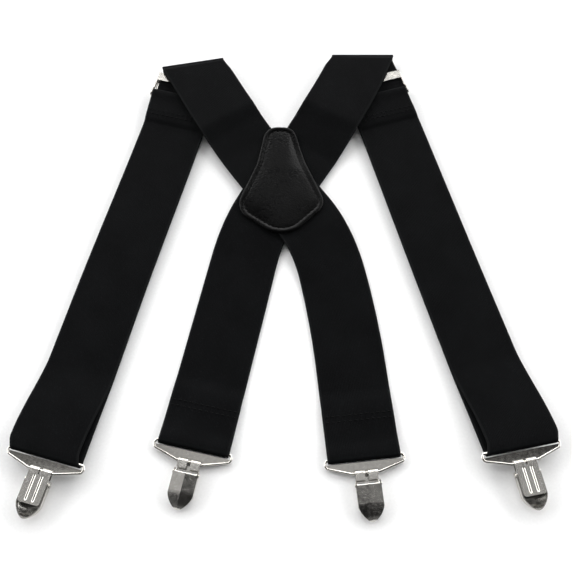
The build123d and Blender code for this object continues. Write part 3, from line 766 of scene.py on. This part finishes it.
def even_loop(points, step):
    """Closed loop resampled to even steps."""
    lengths = [(points[(i + 1) % len(points)] - p).length for i, p in enumerate(points)]
    total = sum(lengths)
    count = round(total / step)
    result, index, done = [], 0, 0.0
    for k in range(count):
        target = total * k / count
        while done + lengths[index] < target:
            done += lengths[index]
            index += 1
        share = (target - done) / max(lengths[index], 1e-9)
        result.append(points[index].lerp(points[(index + 1) % len(points)], share))
    return result


def inset_loop(loop, distance):
    """Loop moved inwards; the loop runs anticlockwise."""
    moved = []
    for i, point in enumerate(loop):
        tangent = (loop[(i + 1) % len(loop)] - loop[i - 1]).normalized()
        moved.append(point + Vector((-tangent.y, tangent.x)) * distance)
    return moved


def strap_cover(side, point):
    """How fully a point of the plan lies over a back strap, from 0 to 1."""
    strap = BACK_STRAPS[side]
    place, heading = Vector(strap["start"]), strap["heading"]
    nearest = WEB_WIDTH
    samples, reach = 8, 7.0
    for leg in strap["legs"][:-1]:
        for i in range(samples + 1):
            spot = leg_point(place, heading, leg, 0, i / samples)
            ahead = direction(heading + leg[1] * i / samples)
            gap = point - spot
            if abs(gap.dot(ahead)) < reach:
                nearest = min(nearest, abs(gap.dot(Vector((-ahead.y, ahead.x)))))
        place, heading = leg_point(place, heading, leg, 0, 1), heading + leg[1]
    first, last = (WEB_WIDTH / 2 + distance for distance in STRAP_DROP)
    return 1 - smoothstep(first, last, nearest)


def under_patch(point):
    """Height of what the outer leather lies on at a point of the plan."""
    flat = LEATHER + PAD_GAP
    height = flat
    for side in ("right", "left"):
        top = strap_height(BACK_STRAPS[side], point) + WEB_THICK + STRAP_GAP
        height = max(height, flat + (top - flat) * strap_cover(side, point))
    return height


def loft_loops(name, loops):
    """Closed shell through loops with equally many points, and a centre point at each end."""
    shape = bmesh.new()
    rings = [[shape.verts.new(point) for point in loop] for loop in loops]
    for ring, following in zip(rings, rings[1:]):
        for i in range(len(ring)):
            j = (i + 1) % len(ring)
            shape.faces.new((ring[i], ring[j], following[j], following[i]))
    for ring in (rings[0], rings[-1]):
        middle = sum((v.co for v in ring), Vector()) / len(ring)
        centre = shape.verts.new(middle)
        for i in range(len(ring)):
            shape.faces.new((ring[i], ring[(i + 1) % len(ring)], centre))
    bmesh.ops.recalc_face_normals(shape, faces=shape.faces)
    return finished_mesh(name, shape)


def rim_support(edge):
    """Height of the rim's underside, stretched like stiff leather over the dips between the straps."""
    lying = [under_patch(point) for point in edge]
    support = []
    for point in edge:
        reaches = [low - RIM_STIFFNESS * (other - point).length_squared for low, other in zip(lying, edge)]
        support.append(max(reaches))
    smoothings = 12
    for _ in range(smoothings):
        support = [(support[i - 1] + 2 * s + support[(i + 1) % len(edge)]) / 4 for i, s in enumerate(support)]
    return [max(low, tight) for low, tight in zip(lying, support)]


def pad_loop(inner, support, share):
    """Loop of the padded middle, at a share of the way from its edge to its centre."""
    soon, steep = PAD_CROWN
    often, high = PAD_WAVES
    loop = []
    for point, low in zip(inner, support):
        spot = point.lerp(PATCH_CENTRE, share)
        base = low + PAD_RISE
        swell = 1 - (1 - min(1.0, share * soon)) ** steep
        wobble = noise.noise(Vector((spot.x, spot.y, 3)) * often) * high * smoothstep(0, 0.25, share)
        height = base + (PATCH_PAD_TOP - base) * swell + wobble * (1 - 0.4 * share)
        loop.append(Vector((spot.x, spot.y, height)))
    return loop


def patch_outer(material, edge, support):
    """Padded leather: a rolled rim that follows the straps, a sewn groove and a full middle."""
    loops = []
    for inset, rise in RIM:
        loop = inset_loop(edge, inset)
        loops.append([Vector((p.x, p.y, low + rise)) for p, low in zip(loop, support)])
    inner = inset_loop(edge, PAD_INSET)
    loops += [pad_loop(inner, support, k / PAD_RINGS) for k in range(PAD_RINGS)]
    piece = new_object("patch_cover", loft_loops("patch_outer", loops), material)
    rounding = piece.modifiers.new("rounding", "SUBSURF")
    rounding.levels = rounding.render_levels = 1
    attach(piece, "back")
    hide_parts("back_patch_outer")


def patch_inner(material, edge):
    """Under leather of the patch, a flat sheet with eased edges."""
    loops = [[Vector((p.x, p.y, z)) for p in inset_loop(edge, inset)] for inset, z in LINING]
    piece = new_object("patch_lining", loft_loops("patch_inner", loops), material)
    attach(piece, "back")
    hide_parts("back_patch_inner")


def patch_seam(material, edge, support):
    """Stitches in the groove of the patch."""
    groove = even_loop(inset_loop(edge, PATCH_GROOVE), STITCH_PITCH)
    places = []
    for i, spot in enumerate(groove):
        ahead = (groove[(i + 1) % len(groove)] - groove[i - 1]).normalized()
        low = min(zip(edge, support), key=lambda pair: (pair[0] - spot).length)[1]
        places.append((Vector((spot.x, spot.y, low + PATCH_SEAM_RISE)), ahead))
    seam = new_object("patch_seam", stitch_mesh("seam", places), material)
    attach(seam, "back")
    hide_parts("back_patch_stitching")


# ---------------------------------------------------------------- metal
def finish_hardware(nickel, polished_shaded, steel, grip):
    """Finishes of the clips, rings and adjusters, whose shapes stay as they are in the frame."""
    for name, node in frame["nodes"].items():
        if node.hide_render:
            continue
        finish, slot = nickel, "nickel"
        # The rings get the darker, smoother nickel: its darker colour is painted shade.
        if name.endswith("ring"):
            finish = polished_shaded
        elif name.endswith("jaw_pad"):
            finish, slot = grip, "grip_plastic"
        elif name.endswith("leaf"):
            finish, slot = steel, "spring_steel"
        node.data.materials.clear()
        node.data.materials.append(finish)


# ---------------------------------------------------------------- stage
class Sky(Shader):
    """The same short way to write nodes, around the background of a world."""

    def __init__(self, name):
        self.world = bpy.data.worlds.new(name)
        self.world.use_nodes = True
        self.nodes = self.world.node_tree.nodes
        self.links = self.world.node_tree.links
        self.surface = self.nodes["Background"]

    def band(self, value, low, high, edge):
        """1 between two values, with a soft edge on both sides."""
        return self.ramp(value, [(low - edge, 0.0), (low, 1.0), (high, 1.0), (high + edge, 0.0)])


def light_tent():
    """Soft light from low down at the sides and back, under a roof of panels, strips and spots.

    Sideways and forward go from 0 at the left or front horizon, over 0.5 overhead, to 1.
    """
    sky = Sky("light_tent")
    heading = sky.node("TexCoord").outputs["Generated"]
    split = sky.node("SeparateXYZ", [("Vector", heading)])
    sideways = sky.math("ADD", sky.math("MULTIPLY", split.outputs["X"], 0.5), 0.5)
    forward = sky.math("ADD", sky.math("MULTIPLY", split.outputs["Y"], 0.5), 0.5)
    panels = sky.ramp(sideways, [
        (0.20, 0.6), (0.31, 0.5), (0.35, 0.07), (0.40, 0.08), (0.43, 0.6),
        (0.57, 0.6), (0.60, 0.04), (0.67, 0.05), (0.72, 0.2), (0.85, 0.35),
    ])
    fade = sky.ramp(forward, [(0.49, 0.05), (0.54, 0.8), (0.66, 0.9), (0.70, 0.08)])
    roof = sky.math("MULTIPLY", panels, fade)
    strips = sky.math("MULTIPLY", sky.band(sideways, 0.345, 0.375, 0.015), 0.8)
    strips = sky.math("ADD", strips, sky.band(sideways, 0.625, 0.665, 0.015))
    strips = sky.math("MULTIPLY", strips, sky.band(forward, 0.54, 0.577, 0.006))
    columns = sky.math("ADD", sky.band(sideways, 0.39, 0.44, 0.02), sky.band(sideways, 0.56, 0.61, 0.02))
    spots = sky.math("MULTIPLY", sky.band(forward, 0.66, 0.765, 0.015), 6.0)
    spots = sky.math("ADD", spots, sky.band(forward, 0.785, 0.825, 0.015))
    spots = sky.math("MULTIPLY", spots, columns)
    roof = sky.math("ADD", roof, sky.math("ADD", strips, spots))
    walls = sky.ramp(split.outputs["Z"], [(0.50, 1.0), (0.66, 0.0)])
    front = sky.ramp(forward, [(0.33, 0.02), (0.47, 1.0)])
    wall_light = sky.math("MULTIPLY", front, 6.0)
    sky.plug("Color", sky.node("Mix", [(0, walls), (6, roof), (7, wall_light)], data_type="RGBA").outputs[2])
    return sky.world


def stage():
    """Pale floor just under the object, soft light from the sky, and the camera."""
    bpy.ops.mesh.primitive_plane_add(size=6, location=(0, 0, -FLOOR_DROP * MM))
    floor = bpy.context.object
    floor.name = "floor"
    floor.data.materials.append(floor_material())
    bpy.context.scene.world = light_tent()
    view = bpy.context.scene.view_settings
    view.view_transform = "Standard"
    view.look = "None"

    tilt = radians(CAMERA_TILT)
    camera = bpy.data.cameras.new("camera")
    camera.sensor_width = 36
    camera.lens = CAMERA_LENS
    eye = bpy.data.objects.new("camera", camera)
    eye.location = (CAMERA_AIM + Vector((0, -sin(tilt), cos(tilt))) * CAMERA_DISTANCE) * MM
    eye.rotation_euler = (tilt, 0, 0)
    bpy.context.scene.collection.objects.link(eye)
    bpy.context.scene.camera = eye


# ---------------------------------------------------------------- the object
stage()
webbing = webbing_material()
leather = leather_material()
thread = thread_material()
for side in ("left", "right"):
    back_strap(side, webbing)
    shoulder_fold(side, webbing)
    run, run_length = front_run(side, webbing)
    front_return(side, webbing, run_length)
patch_edge = patch_outline()
patch_support = rim_support(patch_edge)
patch_inner(leather, patch_edge)
patch_outer(leather, patch_edge, patch_support)
patch_seam(thread, patch_edge, patch_support)
strap_stitching(thread)
finish_hardware(
    nickel=plated_material("nickel", (0.72, 0.7, 0.66), 0.16, (1.0, 6.0, 1.0)),
    # The rings' nickel is the clips' nickel painted darker, as painted shade; its lower roughness is a real
    # polish.
    polished_shaded=plated_material("polished_shaded_nickel", (0.66, 0.64, 0.6), 0.06, (1.0, 6.0, 1.0), dent=0.015),
    steel=plated_material("spring_steel", (0.5, 0.5, 0.5), 0.32, (6.0, 1.0, 1.0)),
    grip=grip_material(),
)
